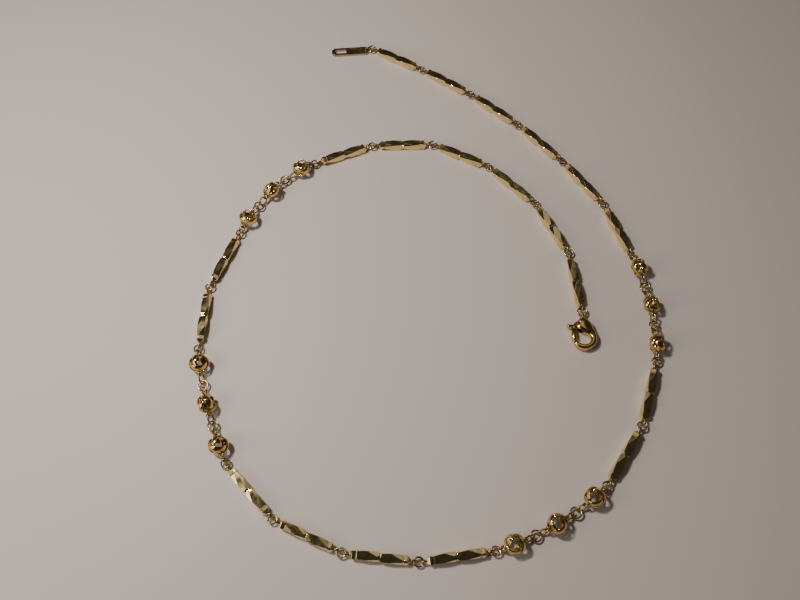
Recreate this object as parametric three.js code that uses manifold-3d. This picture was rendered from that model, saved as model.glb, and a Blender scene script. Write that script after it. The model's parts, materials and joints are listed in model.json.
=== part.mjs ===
// Eyeglasses chain strap: a 24 inch metal chain of faceted bars and open love knots, joined by
// round rings, with a slotted tag at one end and a lobster clasp at the other. It lies on a flat
// surface in one open spiral turn. Millimetres, +Z up, origin at the bottom centre of the whole strap.
import * as THREE from "three";
import { mergeVertices } from "three/addons/utils/BufferGeometryUtils.js";
import Module from "manifold-3d";

// ---- Driving dimensions ----
const WIRE_R = 0.3; // radius of every ring, eye and loop wire
const WIRE_SIDES = 4;
const RING_R = 1.2; // middle of the wire to the middle of a ring
const CLASP_RING_R = 1.4; // the last ring, at the clasp, is a little larger
const RING_SEGMENTS = 10;
const EYE_R = 0.9; // the upright eye at each end of a bar
const EYE_SEGMENTS = 8;
const TIP_GAP = 0.5; // from a ring's centre to the wire of the eye or loop hanging in it
const RING_Z = 1.3; // height of the rings and of the bars' axis above the surface

const BAR_PITCH = 21.3; // ring centre to ring centre
const BAR_LENGTH = 16.9;
const BAR_HALF = 1.3; // half the side of the bar's square section
const BAR_NECK_HALF = 0.6;
const BAR_SHOULDER = 1.0; // length of the slope from neck to full section
const BAR_NOTCH_HALF = 0.9; // half the width of the V at the middle of the bar
const BAR_NOTCH_DEPTH = 0.5;

const KNOT_R = 2.25; // middle of a band to the middle of the knot
const KNOT_BAND_R = 0.75;
const KNOT_BAND_SIDES = 4;
const KNOT_BAND_SEGMENTS = 8;
const KNOT_BAND_TILTS = [80, -20].map(THREE.MathUtils.degToRad); // the two bands, from flat
const KNOT_Z = KNOT_R + KNOT_BAND_R;
const KNOT_TO_BAR = 5.4; // knot centre to the ring it shares with a bar
const KNOT_TO_KNOT = 6.6; // knot centre to the ring it shares with the next knot
const LOOP_HALF_WIDTH = 1.1;
const LOOP_ROOT_DROP = 0.3; // how far under the knot's centre its end loops start
const LOOP_TIP_DROP = 0.2; // how far under the ring's middle they end
const LOOP_SEGMENTS = 8;
const JOINED_TIP_GAP = 0.7; // a knot's own ring touches the loop it hangs on

const TAG_LENGTH = 13.8;
const TAG_HALF_WIDTH = 1.7;
const TAG_THICK = 0.9;
const TAG_TONGUE_END = 14.4;
const TAG_TONGUE_HALF = 0.7;
const TAG_PITCH = 15.3; // rounded end to ring centre
const SLOT_START = 1.3;
const SLOT_END = 5.5;
const SLOT_HALF_WIDTH = 0.85;

const CLASP_THICK = 3.0;
const CLASP_BEVEL = 0.35;
const CLASP_PITCH = 13.2; // ring centre to the far end of the claw
const PIVOT_X = 3.7; // the lever's pin, from the ring's centre
const PIVOT_Y = -1.0;
const PIN_R = 0.4;
const PIN_LENGTH = 2.7;
const PIN_CLEARANCE = 0.12;
const PIN_SIDES = 12;
const HUB_R = 0.95;
const LEVER_BOTTOM = 0.8;
const LEVER_THICK = 0.9;
const CHANNEL_BOTTOM = 0.65;
const CHANNEL_HEIGHT = 1.7;
const CHANNEL_HUB_R = 1.25;
const CHANNEL_START = 2.9;
const CHANNEL_LENGTH = 5;
const CHANNEL_SIDE = -0.45; // the closed side of the lever's channel
const CHANNEL_WIDTH = 4;
const SPRING_WIRE_R = 0.1;
const SPRING_R = 0.75;
const SPRING_TURNS = 1.5;
const SPRING_PITCH = 0.24;
const SPRING_BOTTOM = 1.73;

// What follows what from the tag to the clasp: b is a bar, k is a knot.
const SEQUENCE = "bbbbbb kkk bb kkk bbbb kkk bb kkk bbbbbb".replaceAll(" ", "");

// The line that the ring centres follow on the surface, tag end first.
const ROUTE = [
  [-35, 90], [-18.5, 91], [-1, 81], [17, 69], [33.5, 55], [47.5, 39.5], [60, 21.5], [66.3, 4],
  [70, -14], [69.5, -33], [62.8, -53], [51, -70.5], [37.5, -80.7], [20, -88.5], [-1.5, -92],
  [-23, -90.3], [-43, -82], [-58, -67.5], [-66, -49], [-71.2, -30.5], [-70, -8.5], [-61.5, 12],
  [-51.5, 29], [-38.5, 38.7], [-19, 46.2], [2, 46.8], [21, 37.8], [36.5, 22.5], [45.8, 4.5],
  [48.3, -16.5], [47.8, -31], [47, -45],
];

// ---- Solids ----
const wasm = await Module();
wasm.setup();

/** A closed three.js geometry as a solid. */
function solidOf(geometry) {
  const bare = geometry.index ? geometry.toNonIndexed() : geometry.clone();
  bare.deleteAttribute("normal");
  bare.deleteAttribute("uv");
  const merged = mergeVertices(bare, 1e-4);
  return new wasm.Manifold(
    new wasm.Mesh({
      numProp: 3,
      vertProperties: merged.attributes.position.array,
      triVerts: new Uint32Array(merged.index.array),
    }),
  );
}

/** A solid as a three.js geometry. */
function geometryOf(solid) {
  const mesh = solid.getMesh();
  const geometry = new THREE.BufferGeometry();
  geometry.setAttribute("position", new THREE.BufferAttribute(mesh.vertProperties, 3));
  geometry.setIndex(new THREE.BufferAttribute(mesh.triVerts, 1));
  geometry.computeVertexNormals();
  return geometry;
}

/** Several overlapping closed geometries joined into one. */
function joined(...geometries) {
  return geometryOf(geometries.map(solidOf).reduce((whole, next) => whole.add(next)));
}

/** One closed geometry with others cut out of it. */
function cut(base, ...tools) {
  return geometryOf(tools.map(solidOf).reduce((whole, tool) => whole.subtract(tool), solidOf(base)));
}

/** A named mesh with a gold finish of its own. */
function goldMesh(name, geometry, color = 0xd8ab4e, roughness = 0.18) {
  const material = new THREE.MeshStandardMaterial({ color, roughness, metalness: 1 });
  const mesh = new THREE.Mesh(geometry, material);
  mesh.name = name;
  return mesh;
}

// ---- Rings and eyes ----

/** A ring lying flat, its centre at the given place along the piece. */
function flatRing(x, radius = RING_R) {
  const ring = new THREE.TorusGeometry(radius, WIRE_R, WIRE_SIDES, RING_SEGMENTS);
  return ring.translate(x, 0, RING_Z);
}

/** An upright eye whose tip hangs in the ring at x, on the side that inward points to (1 or -1). */
function uprightEye(x, inward) {
  const eye = new THREE.TorusGeometry(EYE_R, WIRE_R, WIRE_SIDES, EYE_SEGMENTS);
  return eye.rotateX(Math.PI / 2).translate(x + inward * (TIP_GAP + EYE_R), 0, RING_Z);
}

/** A closed elliptical loop standing upright between two points of the XZ plane. */
class UprightLoop extends THREE.Curve {
  constructor(root, tip, halfWidth) {
    super();
    this.middle = root.clone().add(tip).multiplyScalar(0.5);
    this.along = tip.clone().sub(root).multiplyScalar(0.5);
    this.across = new THREE.Vector3(-this.along.z, 0, this.along.x).setLength(halfWidth);
  }

  getPoint(t, target = new THREE.Vector3()) {
    const angle = 2 * Math.PI * t;
    return target
      .copy(this.middle)
      .addScaledVector(this.along, Math.cos(angle))
      .addScaledVector(this.across, Math.sin(angle));
  }
}

// ---- Bar ----

/** A square bar with sloping shoulders, an eye at each end and a V notch all round its middle. */
function barGeometry() {
  const corner = Math.SQRT2; // a square of half side 1 has its corners this far out
  const half = BAR_LENGTH / 2;
  const right = [
    [BAR_NOTCH_HALF, BAR_HALF],
    [half - BAR_SHOULDER, BAR_HALF],
    [half, BAR_NECK_HALF],
    [half, 0],
  ];
  const left = right.map(([along, out]) => [-along, out]).reverse();
  const profile = [...left, [0, BAR_HALF - BAR_NOTCH_DEPTH], ...right];
  const points = profile.map(([along, out]) => new THREE.Vector2(out * corner, along));
  const body = new THREE.LatheGeometry(points, 4, Math.PI / 4);
  body.rotateZ(-Math.PI / 2).translate(BAR_PITCH / 2, 0, RING_Z);
  return joined(body, uprightEye(0, 1), uprightEye(BAR_PITCH, -1));
}

// ---- Love knot ----

/** An open knot of two crossed bands, a drooping loop at each end and its own ring on the far one. */
function knotGeometry(reachBack, reachAhead) {
  const pitch = reachBack + reachAhead;
  const bands = KNOT_BAND_TILTS.map((tilt) => {
    const band = new THREE.TorusGeometry(KNOT_R, KNOT_BAND_R, KNOT_BAND_SIDES, KNOT_BAND_SEGMENTS);
    return band.rotateX(tilt).translate(reachBack, 0, KNOT_Z);
  });
  const loop = (direction, tipX) => {
    const root = new THREE.Vector3(reachBack + direction * KNOT_R, 0, KNOT_Z - LOOP_ROOT_DROP);
    const tip = new THREE.Vector3(tipX, 0, RING_Z - LOOP_TIP_DROP);
    const path = new UprightLoop(root, tip, LOOP_HALF_WIDTH);
    return new THREE.TubeGeometry(path, LOOP_SEGMENTS, WIRE_R, WIRE_SIDES, true);
  };
  return joined(
    ...bands,
    loop(-1, TIP_GAP),
    loop(1, pitch - JOINED_TIP_GAP),
    flatRing(pitch),
  );
}

// ---- Tag ----

/** A flat tag with a round outer end, a slot, and a tongue that carries an upright eye. */
function tagGeometry() {
  const outline = new THREE.Shape();
  outline.moveTo(TAG_HALF_WIDTH, -TAG_HALF_WIDTH);
  outline.lineTo(TAG_LENGTH - TAG_TONGUE_HALF, -TAG_HALF_WIDTH);
  outline.lineTo(TAG_LENGTH, -TAG_TONGUE_HALF);
  outline.lineTo(TAG_TONGUE_END, -TAG_TONGUE_HALF);
  outline.lineTo(TAG_TONGUE_END, TAG_TONGUE_HALF);
  outline.lineTo(TAG_LENGTH, TAG_TONGUE_HALF);
  outline.lineTo(TAG_LENGTH - TAG_TONGUE_HALF, TAG_HALF_WIDTH);
  outline.lineTo(TAG_HALF_WIDTH, TAG_HALF_WIDTH);
  outline.absarc(TAG_HALF_WIDTH, 0, TAG_HALF_WIDTH, Math.PI / 2, (3 * Math.PI) / 2, false);
  const slot = new THREE.Path();
  slot.moveTo(SLOT_END, SLOT_HALF_WIDTH);
  slot.lineTo(SLOT_START + SLOT_HALF_WIDTH, SLOT_HALF_WIDTH);
  slot.absarc(
    SLOT_START + SLOT_HALF_WIDTH, 0, SLOT_HALF_WIDTH, Math.PI / 2, (3 * Math.PI) / 2, false,
  );
  slot.lineTo(SLOT_END, -SLOT_HALF_WIDTH);
  outline.holes.push(slot);
  const plate = new THREE.ExtrudeGeometry(outline, {
    depth: TAG_THICK, bevelEnabled: false, curveSegments: 8,
  });
  return joined(plate, uprightEye(TAG_PITCH, -1));
}

// ---- Lobster clasp ----

/** A round post along Z at the lever's pivot. */
function pivotPost(radius, height, bottom) {
  const post = new THREE.CylinderGeometry(radius, radius, height, PIN_SIDES);
  return post.rotateX(Math.PI / 2).translate(PIVOT_X, PIVOT_Y, bottom + height / 2);
}

/** The claw: a teardrop with its left side open, a forked housing for the lever, and an end eye. */
function claspBodyGeometry() {
  const outline = new THREE.Shape();
  outline.moveTo(2.2, -0.8);
  outline.lineTo(2.2, 0.8);
  outline.splineThru([
    new THREE.Vector2(4.6, 2.3), new THREE.Vector2(7.8, 3.7), new THREE.Vector2(10.8, 3.2),
    new THREE.Vector2(12.7, 0.9), new THREE.Vector2(12.5, -1.5), new THREE.Vector2(10.9, -3.3),
  ]);
  outline.lineTo(10.5, -2.5);
  outline.splineThru([
    new THREE.Vector2(11.3, -1.2), new THREE.Vector2(11.4, 0.6), new THREE.Vector2(10.3, 2.1),
    new THREE.Vector2(8.3, 2.3), new THREE.Vector2(6.5, 1.2), new THREE.Vector2(6.2, -0.6),
  ]);
  outline.lineTo(5.4, -2.3);
  outline.lineTo(3.4, -2.4);
  const bevel = CLASP_BEVEL;
  const claw = new THREE.ExtrudeGeometry(outline, {
    depth: CLASP_THICK - 2 * bevel, bevelThickness: bevel, bevelSize: bevel, bevelOffset: -bevel,
    bevelSegments: 1, curveSegments: 3,
  });
  claw.translate(0, 0, bevel);
  const channel = new THREE.BoxGeometry(CHANNEL_LENGTH, CHANNEL_WIDTH, CHANNEL_HEIGHT);
  channel.translate(
    CHANNEL_START + CHANNEL_LENGTH / 2,
    CHANNEL_SIDE - CHANNEL_WIDTH / 2,
    CHANNEL_BOTTOM + CHANNEL_HEIGHT / 2,
  );
  const seat = pivotPost(CHANNEL_HUB_R, CHANNEL_HEIGHT, CHANNEL_BOTTOM);
  const bore = pivotPost(PIN_R + PIN_CLEARANCE, 2 * CLASP_THICK, -CLASP_THICK / 2);
  return joined(cut(claw, channel, seat, bore), uprightEye(0, 1));
}

/** The lever: a hub on the pin, an arm that closes the claw, and a thumb tab. */
function leverGeometry() {
  const outline = new THREE.Shape();
  outline.moveTo(PIVOT_X, PIVOT_Y + HUB_R);
  outline.absarc(PIVOT_X, PIVOT_Y, HUB_R, Math.PI / 2, Math.PI * 1.25, false);
  outline.lineTo(4.0, -3.2);
  outline.lineTo(4.2, -4.9);
  outline.lineTo(5.7, -5.1);
  outline.lineTo(6.0, -3.8);
  outline.lineTo(8.0, -4.0);
  outline.lineTo(9.7, -3.6);
  outline.lineTo(9.9, -2.6);
  outline.lineTo(7.6, -2.7);
  outline.lineTo(5.4, -1.9);
  outline.lineTo(4.5, PIVOT_Y + 0.4);
  const arm = new THREE.ExtrudeGeometry(outline, {
    depth: LEVER_THICK, bevelEnabled: false, curveSegments: 6,
  });
  arm.translate(0, 0, LEVER_BOTTOM);
  return cut(arm, pivotPost(PIN_R + PIN_CLEARANCE, 2 * CLASP_THICK, -CLASP_THICK / 2));
}

/** The line of the return spring's wire, wound round the pin above the lever. */
class SpringLine extends THREE.Curve {
  getPoint(t, target = new THREE.Vector3()) {
    const angle = 2 * Math.PI * SPRING_TURNS * t;
    const height = SPRING_BOTTOM + SPRING_WIRE_R + SPRING_PITCH * SPRING_TURNS * t;
    return target.set(
      PIVOT_X + SPRING_R * Math.cos(angle),
      PIVOT_Y + SPRING_R * Math.sin(angle),
      height,
    );
  }
}

function springGeometry() {
  const section = new THREE.Shape();
  section.absarc(0, 0, SPRING_WIRE_R, 0, 2 * Math.PI, false);
  return new THREE.ExtrudeGeometry(section, {
    steps: 18, curveSegments: 5, extrudePath: new SpringLine(),
  });
}

function claspMeshes() {
  return [
    goldMesh("clasp_body", claspBodyGeometry(), 0xdcb254, 0.14),
    goldMesh("clasp_lever", leverGeometry(), 0xdcb254, 0.16),
    goldMesh("clasp_pin", pivotPost(PIN_R, PIN_LENGTH, (CLASP_THICK - PIN_LENGTH) / 2), 0xc79a45, 0.3),
    goldMesh("clasp_spring", springGeometry(), 0xb9bcc0, 0.35),
  ];
}

// ---- The strap's pieces in order ----

/** Two-figure number for a node's name. */
function two(number) {
  return String(number).padStart(2, "0");
}

/** Every piece from tag to clasp: its meshes, and the distance between its two ring centres. */
function strapPieces() {
  const pieces = [{ pitch: TAG_PITCH, meshes: [goldMesh("tag", tagGeometry(), 0xcfa552, 0.3)] }];
  const bar = barGeometry();
  const counts = { bar: 0, knot: 0 };
  [...SEQUENCE].forEach((kind, i) => {
    if (kind === "b") {
      counts.bar += 1;
      pieces.push({ pitch: BAR_PITCH, meshes: [goldMesh(`bar_${two(counts.bar)}`, bar)] });
      return;
    }
    counts.knot += 1;
    const back = SEQUENCE[i - 1] === "k" ? KNOT_TO_KNOT : KNOT_TO_BAR;
    const ahead = SEQUENCE[i + 1] === "k" ? KNOT_TO_KNOT : KNOT_TO_BAR;
    const name = `knot_${two(counts.knot)}`;
    pieces.push({ pitch: back + ahead, meshes: [goldMesh(name, knotGeometry(back, ahead))] });
  });
  addRings(pieces);
  pieces.push({ pitch: CLASP_PITCH, meshes: claspMeshes() });
  return pieces;
}

/** A ring node at the far end of the tag and of each bar; a knot already carries its own. */
function addRings(pieces) {
  const bare = pieces.filter((piece) => !piece.meshes[0].name.startsWith("knot"));
  bare.forEach((piece, i) => {
    const last = i === bare.length - 1;
    const radius = last ? CLASP_RING_R : RING_R;
    const ring = flatRing(0, radius);
    const mesh = goldMesh(`ring_${two(i + 1)}`, ring, 0xd2a650, 0.2);
    mesh.position.x = piece.pitch;
    piece.meshes.push(mesh);
  });
}

// ---- Laying the strap along its route ----

/** The place on the route, past the given one, that is a straight distance away. */
function nextOnRoute(route, start, distance) {
  const from = route.getPoint(start);
  let near = start;
  let far = Math.min(1, start + 0.1);
  for (let i = 0; i < 40; i += 1) {
    const middle = (near + far) / 2;
    if (route.getPoint(middle).distanceTo(from) < distance) near = middle;
    else far = middle;
  }
  return near;
}

function layStrap(pieces) {
  const route = new THREE.CatmullRomCurve3(ROUTE.map(([x, y]) => new THREE.Vector3(x, y, 0)));
  const strap = new THREE.Group();
  let at = 0;
  for (const { pitch, meshes } of pieces) {
    const next = nextOnRoute(route, at, pitch);
    const from = route.getPoint(at);
    const to = route.getPoint(next);
    const piece = new THREE.Group();
    piece.position.copy(from);
    piece.rotation.z = Math.atan2(to.y - from.y, to.x - from.x);
    piece.userData.pitch = pitch;
    piece.add(...meshes);
    strap.add(piece);
    at = next;
  }
  const box = new THREE.Box3().setFromObject(strap, true);
  const centre = box.getCenter(new THREE.Vector3());
  strap.position.set(-centre.x, -centre.y, -box.min.z);
  return strap;
}

export default layStrap(strapPieces());
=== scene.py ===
"""The finished look of the eyeglasses chain strap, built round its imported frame.

The strap lies flat in one open spiral: a slotted tag, then faceted bars and open love knots held
together by round rings, then a lobster clasp. Metres, +Z up, the surface it lies on at z = 0.
Every piece is shaped along +X from its tag-side ring at x = 0, and then laid in its place.
"""

import json
import logging
import math
from dataclasses import dataclass
from enum import Enum
from typing import Iterable, Sequence

import bmesh
import bpy
from bmesh.types import BMEdge, BMesh, BMFace, BMVert
from bpy.types import Material, Node, NodeSocket, Object, World
from mathutils import Matrix, Vector

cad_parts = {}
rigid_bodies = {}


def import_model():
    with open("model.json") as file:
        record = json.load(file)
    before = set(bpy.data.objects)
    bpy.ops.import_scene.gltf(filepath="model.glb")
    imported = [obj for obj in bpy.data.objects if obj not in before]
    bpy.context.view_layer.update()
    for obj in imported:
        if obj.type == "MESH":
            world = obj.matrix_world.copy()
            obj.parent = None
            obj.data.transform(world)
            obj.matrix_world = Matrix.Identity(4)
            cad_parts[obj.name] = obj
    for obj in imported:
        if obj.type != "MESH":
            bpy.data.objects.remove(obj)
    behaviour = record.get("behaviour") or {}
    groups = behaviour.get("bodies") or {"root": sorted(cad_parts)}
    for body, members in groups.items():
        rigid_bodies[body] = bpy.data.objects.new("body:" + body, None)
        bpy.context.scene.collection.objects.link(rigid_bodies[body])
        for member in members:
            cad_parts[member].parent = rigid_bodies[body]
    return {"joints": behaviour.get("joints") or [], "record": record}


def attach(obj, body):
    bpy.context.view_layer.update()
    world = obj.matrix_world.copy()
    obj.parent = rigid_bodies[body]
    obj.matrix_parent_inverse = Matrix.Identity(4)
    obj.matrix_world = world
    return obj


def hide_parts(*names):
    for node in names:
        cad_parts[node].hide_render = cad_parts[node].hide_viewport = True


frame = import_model()

LOG = logging.getLogger("strap")
MM = 0.001
FULL_TURN = 2 * math.pi
RING_HEIGHT = 1.3 * MM  # middle of every ring above the surface
WIRE = 0.27 * MM  # radius of the wire of rings, eyes and loops
TOUCH = 0.001 * MM  # nearer than this is the same place
Triple = tuple[float, float, float]  # a colour, a place in metres, or three measures


def turned(angle: float, axis: str) -> Matrix:
    """A turn about an axis, in radians."""
    return Matrix.Rotation(angle, 4, axis)


def leant(degrees: float, axis: str) -> Matrix:
    """A turn about an axis, in degrees."""
    return Matrix.Rotation(math.radians(degrees), 4, axis)


def shifted(x: float, y: float = 0.0, z: float = 0.0) -> Matrix:
    """A move along the axes."""
    return Matrix.Translation((x, y, z))


def placed(name: str, data: object) -> Object:
    """Adds an object to the scene.

    Args:
        name: The object's name.
        data: What it shows. A shape under construction becomes its mesh, and is freed.

    Returns:
        The object.
    """
    if isinstance(data, BMesh):
        mesh = bpy.data.meshes.new(name)
        data.to_mesh(mesh)
        data.free()
        data = mesh
    thing = bpy.data.objects.new(name, data)
    bpy.context.scene.collection.objects.link(thing)
    return thing


# ---- finishes


@dataclass(frozen=True)
class GoldFinish:
    """Bright gold-tone plating: polished metal with a soft tone drift, fine rubs, and a painted brown
    shade where a piece marks its deep insides.
    """

    name: str
    color: Triple = (0.78, 0.54, 0.18)
    drift_color: Triple = (0.66, 0.44, 0.13)
    rubbed_color: Triple = (0.93, 0.78, 0.42)
    # the colour of the painted shade deep inside the knots
    painted_shade_color: Triple = (0.09, 0.055, 0.015)
    smoothest: float = 0.10
    roughest: float = 0.24
    rub_depth: float = 0.004 * MM
    rub_strength: float = 0.35
    rub_stretch: Triple = (1.0, 5.0, 1.0)
    cloud_scale: float = 420.0
    rub_scale: float = 5200.0

    def material(self) -> Material:
        """Builds the plating's material.

        Returns:
            A node material that reads Object coordinates, the attribute rubbed and the attribute that
            paints shade deep inside a knot.
        """
        paint = Paint(bpy.data.materials.new(self.name))
        where = paint.node("ShaderNodeTexCoord").outputs["Object"]
        cloud = paint.noise(where, self.cloud_scale, detail=4.0)
        rubs = paint.noise(paint.stretched(where, self.rub_stretch), self.rub_scale, detail=2.0)
        tone = paint.mixed(cloud, self.color, self.drift_color)
        # painted shade: darker brown deep inside the knots, where little light reaches
        tone = paint.mixed(paint.attribute("painted_shade"), tone, self.painted_shade_color)
        tone = paint.mixed(paint.attribute("rubbed"), tone, self.rubbed_color)
        gloss = paint.ranged(cloud, self.smoothest, self.roughest)
        bump = paint.node("ShaderNodeBump")
        bump.inputs["Strength"].default_value = self.rub_strength
        bump.inputs["Distance"].default_value = self.rub_depth
        paint.link(rubs, bump.inputs["Height"])
        paint.link(tone, paint.shader.inputs["Base Color"])
        paint.link(gloss, paint.shader.inputs["Roughness"])
        paint.link(bump.outputs["Normal"], paint.shader.inputs["Normal"])
        paint.shader.inputs["Metallic"].default_value = 1.0
        return paint.owner


@dataclass(frozen=True)
class SteelFinish:
    """Plain drawn spring wire."""

    name: str
    color: Triple = (0.52, 0.52, 0.54)
    streak_color: Triple = (0.36, 0.35, 0.35)
    streak_scale: float = 2600.0
    smoothest: float = 0.25
    roughest: float = 0.42

    def material(self) -> Material:
        """Builds the wire's material.

        Returns:
            A grey metal with faint drawing streaks.
        """
        paint = Paint(bpy.data.materials.new(self.name))
        where = paint.node("ShaderNodeTexCoord").outputs["Object"]
        streaks = paint.noise(where, self.streak_scale, detail=3.0)
        tone = paint.mixed(streaks, self.color, self.streak_color)
        paint.link(tone, paint.shader.inputs["Base Color"])
        gloss = paint.ranged(streaks, self.smoothest, self.roughest)
        paint.link(gloss, paint.shader.inputs["Roughness"])
        paint.shader.inputs["Metallic"].default_value = 1.0
        return paint.owner


class Paint:
    """The nodes of a material or of the world, under construction."""

    NOISE_RANGE = (0.3, 0.7)  # where nearly all of a soft noise lies

    def __init__(self, owner: Material | World, shader: str = "Principled BSDF") -> None:
        """Starts with only a shader and its output.

        Args:
            owner: The material or the world.
            shader: The name of the shader's node.
        """
        owner.use_nodes = True
        self.owner = owner
        self.tree = owner.node_tree
        self.shader = self.tree.nodes[shader]

    def node(self, kind: str) -> Node:
        """Adds a node of that kind."""
        return self.tree.nodes.new(kind)

    def link(self, source: NodeSocket, target: NodeSocket) -> None:
        """Joins two sockets."""
        self.tree.links.new(source, target)

    def attribute(self, name: str) -> NodeSocket:
        """Reads a mesh attribute.

        Args:
            name: The attribute's name.

        Returns:
            Its number, or 0 where there is none.
        """
        node = self.node("ShaderNodeAttribute")
        node.attribute_name = name
        return node.outputs["Fac"]

    def stretched(
        self, where: NodeSocket, scale: Triple
    ) -> NodeSocket:
        """Coordinates drawn out along an axis.

        Args:
            where: The coordinates.
            scale: How much finer the pattern gets along each axis.

        Returns:
            The changed coordinates.
        """
        node = self.node("ShaderNodeMapping")
        node.inputs["Scale"].default_value = scale
        self.link(where, node.inputs["Vector"])
        return node.outputs["Vector"]

    def noise(self, where: NodeSocket, scale: float, detail: float) -> NodeSocket:
        """A soft noise over the piece.

        Args:
            where: The coordinates.
            scale: Spots to the metre.
            detail: How many finer layers it has.

        Returns:
            The noise, nearly all of it in NOISE_RANGE.
        """
        node = self.node("ShaderNodeTexNoise")
        node.inputs["Scale"].default_value = scale
        node.inputs["Detail"].default_value = detail
        self.link(where, node.inputs["Vector"])
        return node.outputs["Fac"]

    def mixed(
        self, share: NodeSocket, first: object, second: object
    ) -> NodeSocket:
        """A blend of two colours.

        Args:
            share: How much of the second shows, 0 to 1.
            first: A colour or a colour socket.
            second: A colour or a colour socket.

        Returns:
            The blended colour.
        """
        node = self.node("ShaderNodeMix")
        node.data_type = "RGBA"
        self.link(share, node.inputs["Factor"])
        for socket, value in ((node.inputs[6], first), (node.inputs[7], second)):
            if isinstance(value, tuple):
                socket.default_value = (*value, 1.0)
            else:
                self.link(value, socket)
        return node.outputs[2]

    def ranged(self, noise: NodeSocket, low: float, high: float) -> NodeSocket:
        """A noise spread over another range.

        Args:
            noise: The noise.
            low: What its low end becomes.
            high: What its high end becomes.

        Returns:
            The spread number.
        """
        node = self.node("ShaderNodeMapRange")
        node.inputs["From Min"].default_value, node.inputs["From Max"].default_value = self.NOISE_RANGE
        node.inputs["To Min"].default_value = low
        node.inputs["To Max"].default_value = high
        self.link(noise, node.inputs["Value"])
        return node.outputs["Result"]


class Slot(Enum):
    """The record's material slots."""

    BAR = "bar_gold"
    KNOT = "knot_gold"
    RING = "ring_gold"
    TAG = "tag_gold"
    CLASP = "clasp_gold"
    SPRING = "spring_steel"


FINISHES = {
    Slot.BAR: GoldFinish("diamond_cut_gold", smoothest=0.07, roughest=0.17),
    Slot.KNOT: GoldFinish("knot_polish_gold", color=(0.70, 0.51, 0.22), smoothest=0.07, roughest=0.16),
    Slot.RING: GoldFinish(
        "drawn_wire_gold", color=(0.50, 0.36, 0.16), drift_color=(0.40, 0.28, 0.12), smoothest=0.14,
        roughest=0.3,
    ),
    Slot.TAG: GoldFinish(
        "stamped_gold", color=(0.42, 0.28, 0.13), drift_color=(0.34, 0.22, 0.10),
        rubbed_color=(0.74, 0.56, 0.30), smoothest=0.2, roughest=0.36,
    ),
    Slot.CLASP: GoldFinish("cast_claw_gold", color=(0.79, 0.58, 0.22), smoothest=0.08, roughest=0.18),
    Slot.SPRING: SteelFinish("spring_wire"),
}


# ---- places


@dataclass(frozen=True)
class Place:
    """Where one piece of the strap lies, from its tag-side ring to its clasp-side ring."""

    body: str
    start: Vector
    heading: float
    pitch: float

    def matrix(self) -> Matrix:
        """From the piece's own line along +X to where it lies on the surface."""
        return shifted(self.start.x, self.start.y) @ turned(self.heading, "Z")


class StrapLay:
    """The places of all the pieces in their order, read from the frame's joints."""

    TAG_PITCH = 15.3 * MM
    CLASP_PITCH = 13.2 * MM
    PIVOT = Vector((3.7, -1.0)) * MM  # the lever's pin, from the clasp's ring

    def __init__(self, joints: Sequence[dict], mounts: Sequence[dict]) -> None:
        """Reads where the pieces meet.

        Args:
            joints: The record's joints.
            mounts: The record's mounts.
        """
        links = [j for j in joints if "lever" not in (j["parent"], j["child"])]
        meets = {frozenset((j["parent"], j["child"])): Vector(j["pos_m"]) for j in links}
        order = ["tag"]
        while len(order) <= len(links):
            pair = next(p for p in meets if order[-1] in p and not p <= set(order))
            order.append(next(iter(pair - {order[-1]})))
        centres = [meets[frozenset(pair)] for pair in zip(order, order[1:])]
        face = Vector(next(m for m in mounts if m["name"] == "tag_face")["pos_m"])
        along = (centres[0] - face).to_2d().normalized()
        tag_start = centres[0].to_2d() - along * self.TAG_PITCH
        pin = Vector(next(j for j in joints if j["child"] == "lever")["pos_m"])
        to_pin = (pin - centres[-1]).to_2d()
        turn = math.atan2(to_pin.y, to_pin.x) - math.atan2(self.PIVOT.y, self.PIVOT.x)
        tag_heading = math.atan2(along.y, along.x)
        self.places = [Place("tag", tag_start.to_3d(), tag_heading, self.TAG_PITCH)]
        for body, start, end in zip(order[1:], centres, centres[1:]):
            step = end - start
            self.places.append(Place(body, start, math.atan2(step.y, step.x), step.length))
        self.places.append(Place(order[-1], centres[-1], turn, self.CLASP_PITCH))

    def of(self, kind: str) -> list[Place]:
        """The places of the bodies whose names start so."""
        return [place for place in self.places if place.body.startswith(kind)]


# ---- shaping


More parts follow.
